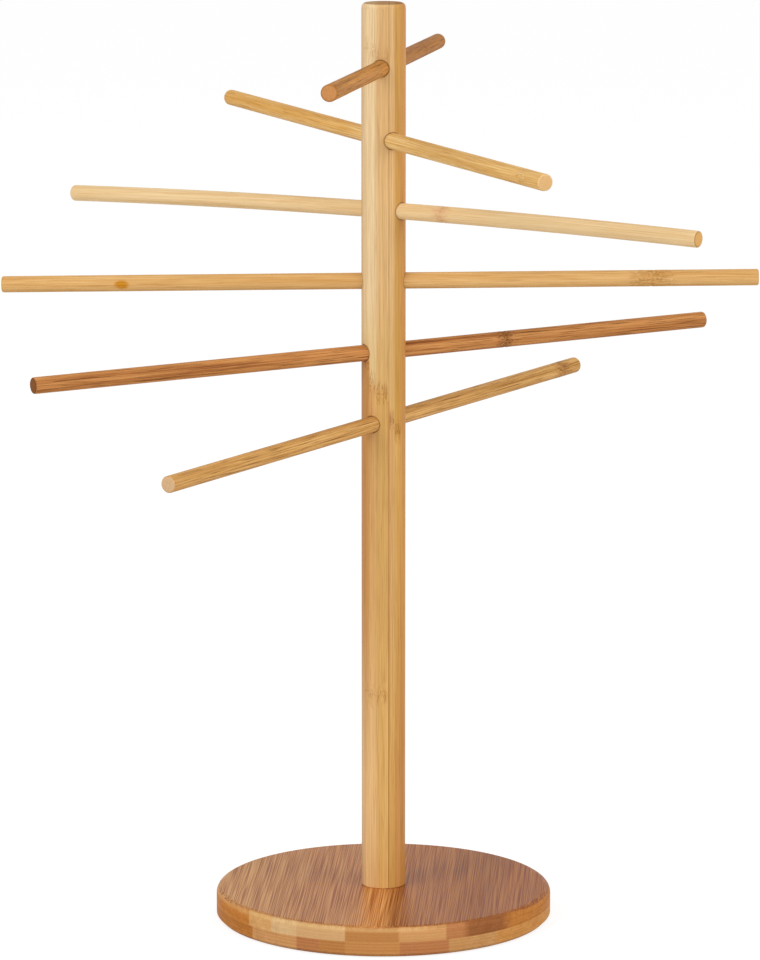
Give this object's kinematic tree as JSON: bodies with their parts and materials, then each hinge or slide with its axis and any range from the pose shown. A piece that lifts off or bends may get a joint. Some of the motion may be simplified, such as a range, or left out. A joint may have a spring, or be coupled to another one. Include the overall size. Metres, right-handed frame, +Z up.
{
  "type": "pasta drying rack",
  "caption": "Free-standing bamboo pasta drying rack: a round base and post with sliding rods pushed through it in a spiral.",
  "frame": {"origin": "on the table that the rack stands on, under the post's axis", "axes": "+Z up along the post; +X to the right and +Y away from whoever stands in front of the rack, so that the fourth rod from the top runs nearly along X"},
  "size_m": [0.4, 0.3968, 0.4915],
  "materials": {
    "base_bamboo": "satin",
    "post_bamboo": "satin",
    "rod_bamboo": "satin",
    "steel": "satin",
    "brass": "satin",
    "pad_rubber": "matte"
  },
  "bodies": {
    "stand": {"base": "base_bamboo", "post": "post_bamboo", "base_screw": "steel", "post_insert": "brass", "anti_slip_pad_1": "pad_rubber", "anti_slip_pad_2": "pad_rubber", "anti_slip_pad_3": "pad_rubber", "anti_slip_pad_4": "pad_rubber", "screw_cover_pad": "pad_rubber"},
    "rod_1": {"rod_1": "rod_bamboo"},
    "rod_2": {"rod_2": "rod_bamboo"},
    "rod_3": {"rod_3": "rod_bamboo"},
    "rod_4": {"rod_4": "rod_bamboo"},
    "rod_5": {"rod_5": "rod_bamboo"},
    "rod_6": {"rod_6": "rod_bamboo"}
  },
  "joints": [
    {"name": "rod_1_slide", "type": "slide", "parent": "stand", "child": "rod_1", "axis": [-0.1443, -0.9892, 0.0262], "range_m": [-0.1735, 0.2031]},
    {"name": "rod_2_slide", "type": "slide", "parent": "stand", "child": "rod_2", "axis": [0.4131, -0.9106, -0.0122], "range_m": [-0.1803, 0.1963]},
    {"name": "rod_3_slide", "type": "hinge", "parent": "stand", "child": "rod_3", "pos_m": [0.04489, -0.03097, -5.86746], "axis": [0.5678, 0.8231, 0], "range_deg": [-1.67, 1.79]},
    {"name": "rod_4_slide", "type": "slide", "parent": "stand", "child": "rod_4", "axis": [0.9989, -0.0436, 0.0157], "range_m": [-0.1859, 0.1907]},
    {"name": "rod_5_slide", "type": "slide", "parent": "stand", "child": "rod_5", "axis": [0.8861, 0.4632, 0.0175], "range_m": [-0.1859, 0.1907]},
    {"name": "rod_6_slide", "type": "slide", "parent": "stand", "child": "rod_6", "axis": [0.5387, 0.8423, 0.0192], "range_m": [-0.1887, 0.1879]}
  ]
}
